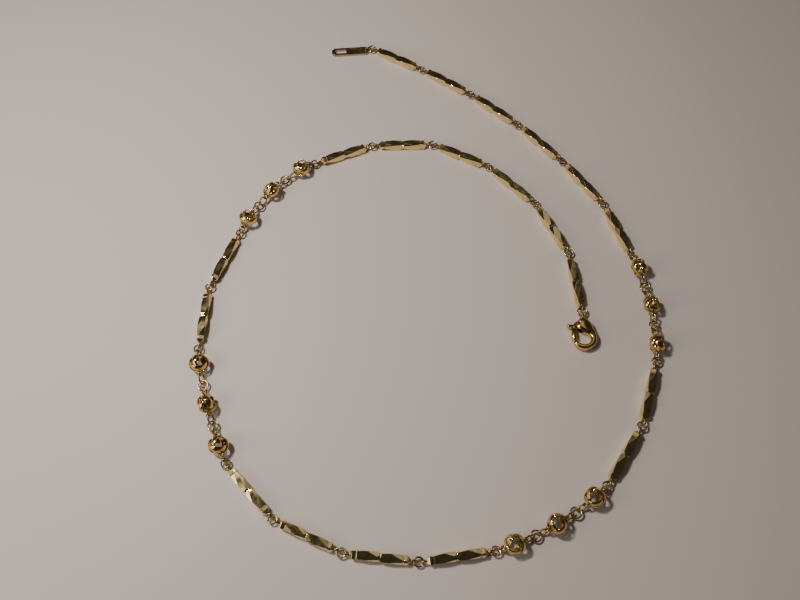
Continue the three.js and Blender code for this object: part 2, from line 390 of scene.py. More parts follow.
class Bench:
    """Shaping moves that the pieces share, and the last step that lays a finished shape in place."""

    def __init__(self) -> None:
        """Mixes every finish once."""
        self.materials = {slot: finish.material() for slot, finish in FINISHES.items()}

    @staticmethod
    def section(path_matrix: Matrix, half_out: float, half_across: float) -> Matrix:
        """The place of a section circle: x points out, y across, and z back along the path."""
        size = Matrix.Diagonal((half_out, half_across, 1.0, 1.0))
        return path_matrix @ turned(math.pi / 2, "X") @ size

    @staticmethod
    def draw(
        bm: BMesh,
        stations: Sequence[Matrix],
        sides: int,
        closed: bool,
        fullness: float = 1.0,
    ) -> list[BMVert]:
        """Draws a section through stations.

        Args:
            bm: The mesh to add to.
            stations: The section's place and size at each step.
            sides: Corners of the section.
            closed: True if the last station leads back to the first.
            fullness: 1 for a round section, less for a squarer one.

        Returns:
            The new vertices.
        """
        verts = bmesh.ops.create_circle(bm, segments=sides, radius=1.0)["verts"]
        for vert in verts:
            vert.co.x = math.copysign(abs(vert.co.x) ** fullness, vert.co.x)
            vert.co.y = math.copysign(abs(vert.co.y) ** fullness, vert.co.y)
        bmesh.ops.transform(bm, matrix=stations[0], verts=verts)
        made = list(verts)
        first = list({edge for vert in verts for edge in vert.link_edges})
        loop = first
        for here, there in zip(stations, stations[1:]):
            fresh, loop = Bench.grow(bm, loop)
            bmesh.ops.transform(bm, matrix=there @ here.inverted(), verts=fresh)
            made += fresh
        if closed:
            bmesh.ops.bridge_loops(bm, edges=first + loop)
        else:
            bmesh.ops.edgeloop_fill(bm, edges=first)
            bmesh.ops.edgeloop_fill(bm, edges=loop)
        return made

    @staticmethod
    def grow(
        bm: BMesh, edges: Sequence[BMEdge]
    ) -> tuple[list[BMVert], list[BMEdge]]:
        """Extrudes a closed line of edges without moving it.

        Args:
            bm: The mesh.
            edges: The line.

        Returns:
            The new line's vertices and its edges.
        """
        grown = bmesh.ops.extrude_edge_only(bm, edges=edges)["geom"]
        verts = [part for part in grown if isinstance(part, BMVert)]
        known = set(verts)
        rims = [part for part in grown if isinstance(part, BMEdge)]
        return verts, [edge for edge in rims if set(edge.verts) <= known]

    @staticmethod
    def round_off(
        bm: BMesh, sharp: Sequence[BMEdge], offset: float, segments: int, rub: float
    ) -> None:
        """Rounds sharp edges and marks them as rubbed.

        Args:
            bm: The mesh, which has the attribute rubbed.
            sharp: The edges.
            offset: How far the round reaches.
            segments: Facets across the round.
            rub: How far the plating is rubbed there, 0 to 1.
        """
        rounded = bmesh.ops.bevel(
            bm, geom=sharp, offset=offset, offset_type="OFFSET", affect="EDGES",
            segments=segments, profile=0.5, material=-1, clamp_overlap=True,
        )["faces"]
        rubbed = bm.verts.layers.float["rubbed"]
        for vert in (vert for face in rounded for vert in face.verts):
            vert[rubbed] = rub

    @staticmethod
    def add_drum(bm: BMesh, sides: int, radius: float, depth: float, middle: Matrix) -> None:
        """Adds an upright closed cylinder."""
        bmesh.ops.create_cone(
            bm, cap_ends=True, segments=sides, radius1=radius, radius2=radius, depth=depth,
            matrix=middle,
        )

    @staticmethod
    def slice_off(bm: BMesh, point: Vector, outward: Vector) -> None:
        """Cuts a closed convex shape with a flat plane, and closes the cut.

        Args:
            bm: The mesh, which holds only that shape.
            point: A point of the plane.
            outward: The side to take away.
        """
        cut = bmesh.ops.bisect_plane(
            bm, geom=bm.verts[:] + bm.edges[:] + bm.faces[:], dist=TOUCH / 10,
            plane_co=point, plane_no=outward, clear_outer=True,
        )["geom_cut"]
        edges = [part for part in cut if isinstance(part, BMEdge)]
        open_edges = [edge for edge in edges if len(edge.link_faces) == 1]
        if open_edges:
            bmesh.ops.edgeloop_fill(bm, edges=open_edges)

    def lay(
        self,
        name: str,
        bm: BMesh,
        place: Place,
        slot: Slot,
        stands_for: Iterable[str] = (),
        smooth: bool = True,
        body: str | None = None,
    ) -> Object:
        """Makes a piece of a finished shape and lays it in its place.

        Args:
            name: The piece's name.
            bm: Its shape along +X, which is freed.
            place: Where it lies.
            slot: The record's slot it takes its finish from.
            stands_for: The CAD nodes that it replaces.
            smooth: False for a faceted piece.
            body: The body that it rides on, if not the place's own.

        Returns:
            The piece.
        """
        bmesh.ops.transform(bm, matrix=place.matrix(), verts=bm.verts[:])
        bmesh.ops.recalc_face_normals(bm, faces=bm.faces[:])
        for face in bm.faces:
            face.smooth = smooth
        piece = placed(name, bm)
        piece.data.materials.append(self.materials[slot])
        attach(piece, body or place.body)
        if stands_for:
            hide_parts(*stands_for)
        LOG.info("%s: %d faces on %s", name, len(piece.data.polygons), body or place.body)
        return piece


# ---- rings and eyes


@dataclass(frozen=True)
class WireRing:
    """A ring of round wire, whole or with the fine butt joint of a jump ring."""

    radius: float
    wire: float = WIRE
    steps: int = 36
    sides: int = 12
    joint_angle: float = math.radians(5)

    def add(self, bm: BMesh, middle: Matrix, jointed: bool = False) -> None:
        """Adds the ring to a mesh.

        Args:
            bm: The mesh.
            middle: The ring's middle, with its own plane as XY.
            jointed: True leaves the fine gap where the wire's ends meet.
        """
        sweep = FULL_TURN - (self.joint_angle if jointed else 0.0)
        count = self.steps + 1 if jointed else self.steps
        stations = []
        for step in range(count):
            spot = middle @ turned(sweep * step / self.steps, "Z") @ shifted(self.radius)
            stations.append(Bench.section(spot, self.wire, self.wire))
        Bench.draw(bm, stations, self.sides, closed=not jointed)

    def add_upright(
        self, bm: BMesh, x: float, height: float = RING_HEIGHT, lean: float = 0.0
    ) -> None:
        """Adds the ring standing across the piece's own line.

        Args:
            bm: The mesh.
            x: Its middle along the piece.
            height: Its middle above the surface.
            lean: How far it leans from upright, in degrees.
        """
        self.add(bm, shifted(x, 0.0, height) @ leant(90.0 + lean, "X"))


@dataclass
class JumpRings:
    """The loose rings that join the pieces; each rides with the piece on its tag side."""

    plain: WireRing = WireRing(radius=1.26 * MM)
    wide: WireRing = WireRing(radius=1.5 * MM)
    lean: tuple[float, ...] = (6.0, -7.0, 3.0, 8.0, -5.0, 7.0, -4.0)  # degrees, in turn
    nod: tuple[float, ...] = (-3.0, 4.0, 2.0, -4.0, 3.0)
    joint_turn: float = 1.9  # radians from one ring's butt joint to the next ring's

    def build(self, bench: Bench, lay: StrapLay, bodies: dict[str, list[str]]) -> None:
        """Makes every ring.

        Args:
            bench: Where shapes are finished.
            lay: The places of the pieces.
            bodies: The record's bodies and their nodes.
        """
        for index, place in enumerate(lay.places[:-1]):
            nodes = [node for node in bodies[place.body] if node.startswith("ring")]
            name = nodes[0] if nodes else place.body
            after = lay.places[index + 1].body
            between_knots = place.body.startswith("knot") and after.startswith("knot")
            ring = self.wide if between_knots or after == "clasp" else self.plain
            middle = (
                shifted(place.pitch, 0.0, RING_HEIGHT)
                @ leant(self.lean[index % len(self.lean)], "X")
                @ leant(self.nod[index % len(self.nod)], "Y")
                @ turned(self.joint_turn * index, "Z")
            )
            bm = bmesh.new()
            ring.add(bm, middle, jointed=True)
            bench.lay(f"{name}_jump_ring", bm, place, Slot.RING, nodes)


# ---- bars


@dataclass
class BarLink:
    """A diamond-cut square bar: two lobes with diagonal cuts, end blocks, sloping shoulders and eyes."""

    half: float = 1.3 * MM
    length: float = 16.9 * MM
    waist_start: float = 0.12 * MM
    waist_flat: float = 1.1 * MM
    waist_corner: float = 1.24 * MM
    waist_reach: float = 0.9 * MM
    lobe_end: float = 6.35 * MM
    groove_width: float = 0.28 * MM
    groove_depth: float = 0.2 * MM
    block_end: float = 7.6 * MM
    neck_half: float = 0.55 * MM
    cut_lean: float = math.radians(17)
    cut_twist: float = math.radians(7)
    cut_along: float = 1.1 * MM  # where the two long cuts start, from the lobe's middle
    cut_aside: float = 0.6 * MM
    edge_round: float = 0.05 * MM
    edge_facets: int = 2
    edge_angle: float = math.radians(12)  # sharper edges than this are rounded and rubbed
    edge_rub: float = 0.6
    eye: WireRing = WireRing(radius=0.9 * MM)
    eye_middle: float = 1.4 * MM
    eye_leans: tuple[float, ...] = (16.0, -20.0, 10.0, -18.0, 20.0, -14.0)  # degrees, in turn

    def _half_bar(self) -> BMesh:
        """Shapes the bar from its waist to one end.

        Returns:
            A mesh that is open at the waist.
        """
        bm = bmesh.new()
        middle = (self.waist_start + self.lobe_end) / 2
        size = Matrix.Diagonal((self.lobe_end - self.waist_start, 2 * self.half, 2 * self.half, 1.0))
        bmesh.ops.create_cube(bm, size=1.0, matrix=shifted(middle) @ size)
        corner = self.half * math.sqrt(2)
        for quarter in range(4):
            turn = Matrix.Rotation(quarter * math.pi / 2, 3, "X")
            # the V at the waist, on the long edge and on the face
            for deep, full, spin in (
                (self.waist_corner, corner, math.pi / 4),
                (self.waist_flat, self.half, 0.0),
            ):
                out = Matrix.Rotation(spin, 3, "X") @ Vector((0.0, 0.0, 1.0))
                slope = Vector((-(full - deep), 0.0, 0.0)) + out * self.waist_reach
                Bench.slice_off(bm, turn @ (out * deep), turn @ slope)
            # the two long diagonal cuts of the face
            for side in (1, -1):
                out = Vector((side * math.sin(self.cut_twist), side * math.sin(self.cut_lean), 1.0))
                point = Vector((middle + side * self.cut_along, side * self.cut_aside, self.half))
                Bench.slice_off(bm, turn @ point, turn @ out)
        self._end_block(bm)
        inner = min(bm.faces, key=lambda face: face.calc_center_median().x)
        bmesh.ops.delete(bm, geom=[inner], context="FACES_ONLY")
        return bm

    def _end_block(self, bm: BMesh) -> None:
        """Draws the groove, the end block, the shoulder and the neck out of the lobe's end face.

        Args:
            bm: The mesh of the lobe.
        """
        face = max(bm.faces, key=lambda each: each.calc_center_median().x)
        steps = (
            (0.0, 1 - self.groove_depth / self.half),
            (self.groove_width, 1.0),
            (0.0, 1 / (1 - self.groove_depth / self.half)),
            (self.block_end - self.lobe_end - self.groove_width, 1.0),
            (self.length / 2 - self.block_end, self.neck_half / self.half),
        )
        for forward, scale in steps:
            face = bmesh.ops.extrude_discrete_faces(bm, faces=[face])["faces"][0]
            middle = face.calc_center_median()
            middle.y = middle.z = 0.0
            space = Matrix.Translation(-middle)
            bmesh.ops.scale(bm, vec=(1.0, scale, scale), verts=face.verts[:], space=space)
            bmesh.ops.translate(bm, vec=(forward, 0.0, 0.0), verts=face.verts[:])

    def _bar(self) -> BMesh:
        """Shapes the whole bar about the origin, with its sharp edges rounded a little.

        Returns:
            The mesh, with the attribute rubbed on its edges.
        """
        bm = self._half_bar()
        half = bm.verts[:] + bm.edges[:] + bm.faces[:]
        twin = bmesh.ops.duplicate(bm, geom=half)["geom"]
        verts = [part for part in twin if isinstance(part, BMVert)]
        bmesh.ops.rotate(bm, cent=(0.0, 0.0, 0.0), matrix=Matrix.Rotation(math.pi, 3, "Z"), verts=verts)
        rims = [edge for edge in bm.edges if len(edge.link_faces) == 1]
        bmesh.ops.bridge_loops(bm, edges=rims)
        bmesh.ops.dissolve_degenerate(bm, dist=TOUCH, edges=bm.edges[:])
        bmesh.ops.recalc_face_normals(bm, faces=bm.faces[:])
        bm.verts.layers.float.new("rubbed")
        sharp = [e for e in bm.edges if e.is_manifold and e.calc_face_angle(0.0) > self.edge_angle]
        Bench.round_off(bm, sharp, self.edge_round, self.edge_facets, self.edge_rub)
        return bm

    def build(self, bench: Bench, places: Sequence[Place]) -> None:
        """Makes every bar and its eyes.

        Args:
            bench: Where shapes are finished.
            places: Where the bars lie.
        """
        for index, place in enumerate(places):
            bm = self._bar()
            # each bar lies on its next side
            bmesh.ops.rotate(
                bm, cent=(0.0, 0.0, 0.0), verts=bm.verts[:],
                matrix=Matrix.Rotation((index % 4) * math.pi / 2, 3, "X"),
            )
            bmesh.ops.translate(bm, vec=(place.pitch / 2, 0.0, RING_HEIGHT), verts=bm.verts[:])
            bench.lay(f"{place.body}_diamond_cut", bm, place, Slot.BAR, [place.body], smooth=False)
            eyes = bmesh.new()
            for end, middle in enumerate((self.eye_middle, place.pitch - self.eye_middle)):
                lean = self.eye_leans[(2 * index + end) % len(self.eye_leans)]
                self.eye.add_upright(eyes, middle, lean=lean)
            bench.lay(f"{place.body}_eyes", eyes, place, Slot.RING)


# ---- love knots


class KnotSide(Enum):
    """Which way a knot's window looks, as its turn about the strap's line in degrees."""

    UP = 2.0
    UP_RIGHT = 34.0
    RIGHT = 78.0
    LEAN_LEFT = -20.0
    LEFT_UP = -58.0
    LEFT = -74.0


@dataclass(frozen=True)
class Strand:
    """One polished strand of a hoop: how far it lies off the hoop's middle, and half its width."""

    offset: float
    half_width: float


@dataclass
class LoveKnot:
    """An open knot: three hoops round one wide window, each passing over one and under the next."""

    hoop_radius: float = 2.64 * MM
    hoop_tilt: float = math.radians(39)
    weave: float = 0.2 * MM
    hoops: tuple[tuple[Strand, ...], ...] = (
        (Strand(0.0, 0.98 * MM),),
        (Strand(-0.32 * MM, 0.32 * MM), Strand(0.32 * MM, 0.32 * MM)),
        (Strand(0.0, 0.8 * MM),),
    )
    half_thick: float = 0.19 * MM
    painted_shade_from: float = 0.5 * MM  # how deep inside the knot the painted shade takes to come up
    # the strongest the painted shade gets
    painted_shade_most: float = 0.55
    steps: int = 72
    sides: int = 14
    height: float = 3.02 * MM
    to_bar: float = 5.4 * MM
    to_knot: float = 6.6 * MM
    eye: WireRing = WireRing(radius=0.7 * MM, wire=0.26 * MM)
    eye_out: float = 3.15 * MM
    loop_root: float = 3.35 * MM
    loop_root_drop: float = 0.3 * MM
    loop_tips: tuple[float, float] = (0.5 * MM, 0.7 * MM)  # from the ring's centre: by a bar, by a knot
    loop_tip_drops: tuple[float, float] = (0.05 * MM, 0.3 * MM)  # below the ring
    loop_half_widths: tuple[float, float] = (0.85 * MM, 0.98 * MM)  # next to a bar, next to a knot
    loop_steps: int = 24
    loop_sides: int = 12
    loop_leans: tuple[float, ...] = (40.0, -42.0, 34.0, -38.0, 42.0, -30.0, 40.0)  # degrees, in turn
    looks: tuple[tuple[KnotSide, float], ...] = (  # the window's side, and the spin about its line
        (KnotSide.LEFT, 10.0), (KnotSide.LEFT_UP, 75.0), (KnotSide.LEFT, 40.0),
        (KnotSide.UP, 100.0), (KnotSide.UP, 20.0), (KnotSide.LEAN_LEFT, 95.0),
        (KnotSide.UP_RIGHT, 85.0), (KnotSide.RIGHT, 30.0), (KnotSide.UP_RIGHT, 110.0),
        (KnotSide.LEAN_LEFT, 65.0), (KnotSide.LEFT_UP, 5.0), (KnotSide.LEAN_LEFT, 90.0),
    )

    def _strand(self, bm: BMesh, turn: Matrix, strand: Strand) -> None:
        """Adds one strand, which swings out over one hoop and in under the other.

        Args:
            bm: The mesh.
            turn: How the hoop is turned.
            strand: Its place and width in the hoop.
        """
        stations = []
        for step in range(self.steps):
            angle = FULL_TURN * step / self.steps
            out = self.hoop_radius + self.weave * math.sin(2 * angle)
            spot = turned(angle, "Z") @ shifted(out, 0.0, strand.offset)
            stations.append(Bench.section(turn @ spot, self.half_thick, strand.half_width))
        line = turn.to_3x3() @ Vector((0.0, 0.0, 1.0))
        for vert in Bench.draw(bm, stations, self.sides, closed=True):
            # the strand curves over the ball from edge to edge
            reach = vert.co.length
            vert.co *= (vert.co - line * vert.co.dot(line)).length / reach

    def _woven(self, side: KnotSide, spin: float) -> BMesh:
        """Shapes the three hoops about the origin.

        Args:
            side: Which way the window looks.
            spin: The turn about the window's own line, in degrees.

        Returns:
            The mesh, with an attribute that paints shade on what lies deep inside.
        """
        settle = leant(side.value, "X") @ leant(spin, "Z")
        bm = bmesh.new()
        for third, hoop in enumerate(self.hoops):
            around = turned(third * FULL_TURN / len(self.hoops), "Z")
            turn = settle @ around @ turned(self.hoop_tilt, "X")
            for strand in hoop:
                self._strand(bm, turn, strand)
        # painted shade: the deeper inside the knot, the darker brown it is painted
        painted_shade = bm.verts.layers.float.new("painted_shade")
        inner = self.hoop_radius - self.weave
        for vert in bm.verts:
            depth = (inner - vert.co.length) / self.painted_shade_from
            vert[painted_shade] = max(0.0, min(self.painted_shade_most, depth))
        return bm

    def _loop(
        self, bm: BMesh, root: Vector, tip: Vector, half_width: float, lean: float
    ) -> None:
        """Adds an oval link from the knot's eye to the ring, with straight sides and round ends.

        Args:
            bm: The mesh.
            root: The end of the link that hangs in the eye.
            tip: The end that hangs in the ring.
            half_width: From the link's line to the wire of its side.
            lean: How far it leans from upright, in degrees.
        """
        direction = (tip - root).normalized()
        across = Vector((-direction.z, 0.0, direction.x))
        across.rotate(Matrix.Rotation(math.radians(lean), 3, direction))
        plane = Matrix((direction, across, direction.cross(across))).transposed().to_4x4()
        plane = Matrix.Translation((tip + root) / 2) @ plane
        straight = (tip - root).length / 2 - half_width
        stations = []
        for step in range(self.loop_steps):
            angle = FULL_TURN * (step + 0.5) / self.loop_steps
            end = shifted(math.copysign(straight, math.cos(angle)))
            spot = turned(angle, "Z") @ shifted(half_width)
            stations.append(Bench.section(plane @ end @ spot, WIRE, WIRE))
        Bench.draw(bm, stations, self.loop_sides, closed=True)

    def build(self, bench: Bench, lay: StrapLay) -> None:
        """Makes every knot and its two loops.

        Args:
            bench: Where shapes are finished.
            lay: The places of the pieces.
        """
        order = [place.body for place in lay.places]
        for index, place in enumerate(lay.of("knot")):
            before = order[order.index(place.body) - 1]
            back = self.to_knot if before.startswith("knot") else self.to_bar
            bm = self._woven(*self.looks[index])
            bmesh.ops.translate(bm, vec=(back, 0.0, self.height), verts=bm.verts[:])
            bench.lay(f"{place.body}_hoops", bm, place, Slot.KNOT, [place.body])
            loops = bmesh.new()
            root_height = self.height - self.loop_root_drop
            for end, (way, reach) in enumerate(((-1, back), (1, place.pitch - back))):
                lean = self.loop_leans[(2 * index + end) % len(self.loop_leans)]
                by_knot = reach > self.to_bar + WIRE
                tip = back + way * (reach - self.loop_tips[by_knot])
                tip_height = RING_HEIGHT - self.loop_tip_drops[by_knot]
                self._loop(
                    loops,
                    Vector((back + way * self.loop_root, 0.0, root_height)),
                    Vector((tip, 0.0, tip_height)),
                    self.loop_half_widths[by_knot],
                    lean,
                )
                self.eye.add_upright(loops, back + way * self.eye_out, root_height, -lean)
            bench.lay(f"{place.body}_loops", loops, place, Slot.RING)


# ---- tag


@dataclass
class EndTag:
    """The slotted tag: a round-ended plate, its slot and shallow panels, a tongue and an upright eye."""

    length: float = 13.8 * MM
    half_width: float = 1.7 * MM
    thick: float = 0.9 * MM
    slot_start: float = 1.3 * MM
    slot_end: float = 5.5 * MM
    slot_half: float = 0.85 * MM
    tongue_end: float = 14.4 * MM
    tongue_half: float = 0.7 * MM
    arc_steps: int = 14
    edge_round: float = 0.27 * MM
    edge_facets: int = 4
    panel_round: float = 0.04 * MM
    panels: tuple[Triple, ...] = (  # start, end, half width
        (6.3 * MM, 11.3 * MM, 1.2 * MM),
        (11.9 * MM, 13.2 * MM, 1.0 * MM),
    )
    panel_depth: float = 0.12 * MM
    panel_zone: float = 1.375 * MM  # every panel lies nearer the tag's line than this
    edge_angle: float = math.radians(30)  # sharper edges than this are rounded and rubbed
    edge_rub: float = 0.45
    eye: WireRing = WireRing(radius=0.9 * MM)
    eye_middle: float = 1.4 * MM

    def _loop(self, bm: BMesh, points: Sequence[tuple[float, float]]) -> list[BMEdge]:
        """Adds a closed line of edges at the plate's top."""
        verts = [bm.verts.new((x, y, self.thick)) for x, y in points]
        return [bm.edges.new(pair) for pair in zip(verts, verts[1:] + verts[:1])]

    def _arc(self, middle: float, radius: float) -> list[tuple[float, float]]:
        """A half circle round the outer end, from the left side to the right one."""
        angles = [math.pi / 2 + math.pi * step / self.arc_steps for step in range(self.arc_steps + 1)]
        return [(middle + radius * math.cos(a), radius * math.sin(a)) for a in angles]

    def _plate(self) -> BMesh:
        """Shapes the plate.

        Returns:
            The plate's top face, with the slot open and the panels sunk.
        """
        bm = bmesh.new()
        chamfer = self.tongue_half
        outline = self._arc(self.half_width, self.half_width) + [
            (self.length - chamfer, -self.half_width),
            (self.length, -self.tongue_half),
            (self.tongue_end, -self.tongue_half),
            (self.tongue_end, self.tongue_half),
            (self.length, self.tongue_half),
            (self.length - chamfer, self.half_width),
        ]
        slot = self._arc(self.slot_start + self.slot_half, self.slot_half) + [
            (self.slot_end, -self.slot_half),
            (self.slot_end, self.slot_half),
        ]
        panels = [[(a, half), (a, -half), (b, -half), (b, half)] for a, b, half in self.panels]
        rims = [self._loop(bm, points) for points in (outline, slot, *panels)]
        bmesh.ops.triangle_fill(bm, use_beauty=True, edges=[edge for rim in rims for edge in rim])
        holes = [f for f in bm.faces if self._inside(f.calc_center_median(), slot, *panels)]
        bmesh.ops.delete(bm, geom=holes, context="FACES_ONLY")
        bmesh.ops.recalc_face_normals(bm, faces=bm.faces[:])
        for rim in rims[2:]:
            verts, low = Bench.grow(bm, rim)
            bmesh.ops.translate(bm, vec=(0.0, 0.0, -self.panel_depth), verts=verts)
            bmesh.ops.edgeloop_fill(bm, edges=low)
        return bm

    @staticmethod
    def _inside(spot: Vector, *rims: Sequence[tuple[float, float]]) -> bool:
        """Tells if a point lies in the box of one of some rims.

        Args:
            spot: The point.
            rims: The rims' corners.

        Returns:
            True if it does.
        """
        for rim in rims:
            xs, ys = zip(*rim)
            if min(xs) < spot.x < max(xs) and min(ys) < spot.y < max(ys):
                return True
        return False

    def build(self, bench: Bench, place: Place) -> None:
        """Makes the tag and its eye.

        Args:
            bench: Where shapes are finished.
            place: Where it lies.
        """
        bm = self._plate()
        below = bmesh.ops.duplicate(bm, geom=bm.verts[:] + bm.edges[:] + bm.faces[:])["geom"]
        verts = [part for part in below if isinstance(part, BMVert)]
        mid_plane = shifted(0.0, 0.0, -self.thick / 2)
        bmesh.ops.scale(bm, vec=(1.0, 1.0, -1.0), verts=verts, space=mid_plane)
        rims = [edge for edge in bm.edges if len(edge.link_faces) == 1]
        for of_slot in (False, True):
            group = [edge for edge in rims if self._on_slot(edge) == of_slot]
            bmesh.ops.bridge_loops(bm, edges=group)
        bmesh.ops.recalc_face_normals(bm, faces=bm.faces[:])
        panel_verts = {vert for face in bm.faces if self._in_panel(face) for vert in face.verts}
        bm.verts.layers.float.new("rubbed")
        for in_panel, offset in ((False, self.edge_round), (True, self.panel_round)):
            sharp = [
                edge
                for edge in bm.edges
                if edge.is_manifold
                and edge.calc_face_angle(0.0) > self.edge_angle
                and (edge.verts[0] in panel_verts or edge.verts[1] in panel_verts) == in_panel
                and (in_panel or abs(edge.verts[0].co.z - edge.verts[1].co.z) < self.panel_depth)
            ]
            Bench.round_off(bm, sharp, offset, self.edge_facets, self.edge_rub)
        bench.lay("tag_plate", bm, place, Slot.TAG, ["tag"], smooth=False)
        eye = bmesh.new()
        self.eye.add_upright(eye, place.pitch - self.eye_middle)
        bench.lay("tag_eye", eye, place, Slot.RING)

    def _in_panel(self, face: BMFace) -> bool:
        """Tells if a face is the floor or a wall of a sunk panel.

        Args:
            face: A face of the plate.

        Returns:
            True if it is.
        """
        spot = face.calc_center_median()
        high = self.thick - TOUCH > spot.z > self.thick - self.panel_depth - TOUCH
        low = TOUCH < spot.z < self.panel_depth + TOUCH
        return (high or low) and abs(spot.y) < self.panel_zone

    def _on_slot(self, edge: BMEdge) -> bool:
        """Tells if an edge lies on the slot's rim.

        Args:
            edge: An edge of the plate.

        Returns:
            True if it does.
        """
        middle = (edge.verts[0].co + edge.verts[1].co) / 2
        inside = self.slot_start - TOUCH < middle.x < self.slot_end + TOUCH
        return inside and abs(middle.y) < self.slot_half + TOUCH


# ---- clasp


@dataclass(frozen=True)
class Rib:
    """One section of a clasp part: its middle, the way the part runs there, and its half sizes."""

    x: float
    y: float
    run: float  # degrees from +X
    half_wide: float
    half_thick: float

    def station(self, height: float) -> Matrix:
        """Finds the place of the section circle.

        Args:
            height: The part's middle above the surface.

        Returns:
            The circle's place and size.
        """
        return (
            shifted(self.x * MM, self.y * MM, height)
            @ leant(self.run - 90.0, "Z")
            @ turned(math.pi / 2, "X")
            @ Matrix.Diagonal((self.half_wide * MM, self.half_thick * MM, 1.0, 1.0))
        )


@dataclass
class LobsterClasp:
    """The claw: a hollowed teardrop body, the lever with its thumb tab, the pin and the spring."""

    middle: float = 1.5 * MM
    sides: int = 32
    body_ribs: tuple[Rib, ...] = (
        Rib(1.95, 0.0, 0, 0.62, 0.7), Rib(2.5, 0.0, 0, 1.1, 1.05),
        Rib(3.2, 0.0, 2, 1.8, 1.36), Rib(4.1, 0.05, 6, 2.35, 1.48),
        Rib(5.1, 0.25, 14, 2.6, 1.5), Rib(6.0, 1.0, 27, 2.1, 1.5),
        Rib(6.9, 1.98, 35, 1.35, 1.46), Rib(8.0, 2.68, 22, 1.05, 1.42),
        Rib(9.3, 2.88, -5, 0.96, 1.4), Rib(10.5, 2.52, -30, 0.94, 1.38),
        Rib(11.4, 1.7, -52, 0.92, 1.36), Rib(11.95, 0.6, -76, 0.9, 1.32),
        Rib(12.0, -0.6, -98, 0.88, 1.28), Rib(11.65, -1.65, -122, 0.84, 1.2),
        Rib(11.0, -2.5, -138, 0.7, 1.1), Rib(10.5, -3.05, -142, 0.42, 0.9),
    )
    lever_ribs: tuple[Rib, ...] = (
        Rib(3.2, -0.7, -40, 0.3, 0.3), Rib(3.75, -1.15, -44, 0.85, 0.42),
        Rib(4.5, -1.95, -44, 0.95, 0.46), Rib(5.3, -2.65, -34, 0.85, 0.56),
        Rib(6.2, -3.0, -16, 0.84, 0.6), Rib(7.4, -3.15, -3, 0.8, 1.1),
        Rib(8.6, -3.15, 8, 0.74, 1.15), Rib(9.6, -3.05, 12, 0.62, 1.0),
        Rib(10.1, -3.0, 12, 0.3, 0.7),
    )
    tab_ribs: tuple[Rib, ...] = (
        Rib(4.9, -2.5, -92, 0.6, 0.42), Rib(4.95, -3.4, -90, 0.52, 0.5),
        Rib(5.0, -4.2, -86, 0.62, 0.75), Rib(5.05, -4.7, -84, 0.72, 0.85),
        Rib(5.08, -5.05, -84, 0.45, 0.55),
    )
    fullness: float = 0.72
    smooth_steps: int = 3
    channel: tuple[float, float, float, float] = (2.9, 7.9, -4.6, -0.45)  # x from, x to, y from, y to
    channel_height: tuple[float, float] = (0.65, 2.35)
    seat_radius: float = 1.25 * MM  # the lever's round seat, at the channel's root
    round_sides: int = 40
    lever_height: float = 1.25 * MM
    pin_radius: float = 0.42 * MM
    pin_sides: int = 28
    pin_short: float = 0.1 * MM  # how much shorter than the claw is thick
    spring_radius: float = 0.72 * MM
    spring_wire: float = 0.1 * MM
    spring_turns: float = 1.5
    spring_steps: int = 48
    spring_sides: int = 10
    spring_bottom: float = 1.86 * MM
    spring_top: float = 2.18 * MM
    eye: WireRing = WireRing(radius=0.9 * MM, wire=0.34 * MM)
    eye_middle: float = 1.42 * MM

    def _stations(self, ribs: Sequence[Rib], height: float) -> list[Matrix]:
        """Stations through the ribs, with smooth steps between them.

        Args:
            ribs: The sections, root first.
            height: The middle above the surface.

        Returns:
            The section circle's place at each step.
        """
        stations = []
        last = len(ribs) - 1
        for index in range(last):
            four = [ribs[max(0, min(last, index + offset))] for offset in (-1, 0, 1, 2)]
            for step in range(self.smooth_steps):
                share = step / self.smooth_steps
                stations.append(self._between(four, share).station(height))
        stations.append(ribs[last].station(height))
        return stations

    @staticmethod
    def _between(four: Sequence[Rib], share: float) -> Rib:
        """Finds a rib on the smooth line through the middle two of four.

        Args:
            four: The ribs, in order.
            share: How far it is from the second to the third, 0 to 1.

        Returns:
            The rib.
        """
        a, b, c, d = four
        t, t2, t3 = share, share * share, share**3

        def blend(name: str) -> float:
            """The value of one measure there."""
            p, q, r, s = (getattr(rib, name) for rib in (a, b, c, d))
            return 0.5 * (
                2 * q + (r - p) * t + (2 * p - 5 * q + 4 * r - s) * t2 + (3 * q - p - 3 * r + s) * t3
            )

        return Rib(*(blend(name) for name in ("x", "y", "run", "half_wide", "half_thick")))

    def _body(self) -> BMesh:
        """Shapes the claw's body.

        Returns:
            The mesh, not yet hollowed.
        """
        bm = bmesh.new()
        stations = self._stations(self.body_ribs, self.middle)
        Bench.draw(bm, stations, self.sides, closed=False, fullness=self.fullness)
        return bm

    def _hollow(self, piece: Object, place: Place) -> None:
        """Cuts the lever's channel out of the body.

        Args:
            piece: The body, in its place.
            place: The clasp's place.
        """
        x_from, x_to, y_from, y_to = (value * MM for value in self.channel)
        low, high = (value * MM for value in self.channel_height)
        bm = bmesh.new()
        middle = shifted((x_from + x_to) / 2, (y_from + y_to) / 2, (low + high) / 2)
        size = Matrix.Diagonal((x_to - x_from, y_to - y_from, high - low, 1.0))
        bmesh.ops.create_cube(bm, size=1.0, matrix=middle @ size)
        seat = shifted(StrapLay.PIVOT.x, StrapLay.PIVOT.y, (low + high) / 2)
        bmesh.ops.transform(bm, matrix=place.matrix(), verts=bm.verts[:])
        round_seat = bmesh.new()
        middle = place.matrix() @ seat
        Bench.add_drum(round_seat, self.round_sides, self.seat_radius, high - low, middle)
        for index, tool in enumerate((bm, round_seat)):
            cutter = placed(f"channel_tool_{index}", tool)
            cut = piece.modifiers.new("channel", "BOOLEAN")
            cut.operation = "DIFFERENCE"
            cut.solver = "EXACT"
            cut.object = cutter
            bpy.context.view_layer.update()
            seen = piece.evaluated_get(bpy.context.evaluated_depsgraph_get())
            result = bpy.data.meshes.new_from_object(seen)
            piece.modifiers.clear()
            piece.data = result
            bpy.data.objects.remove(cutter)

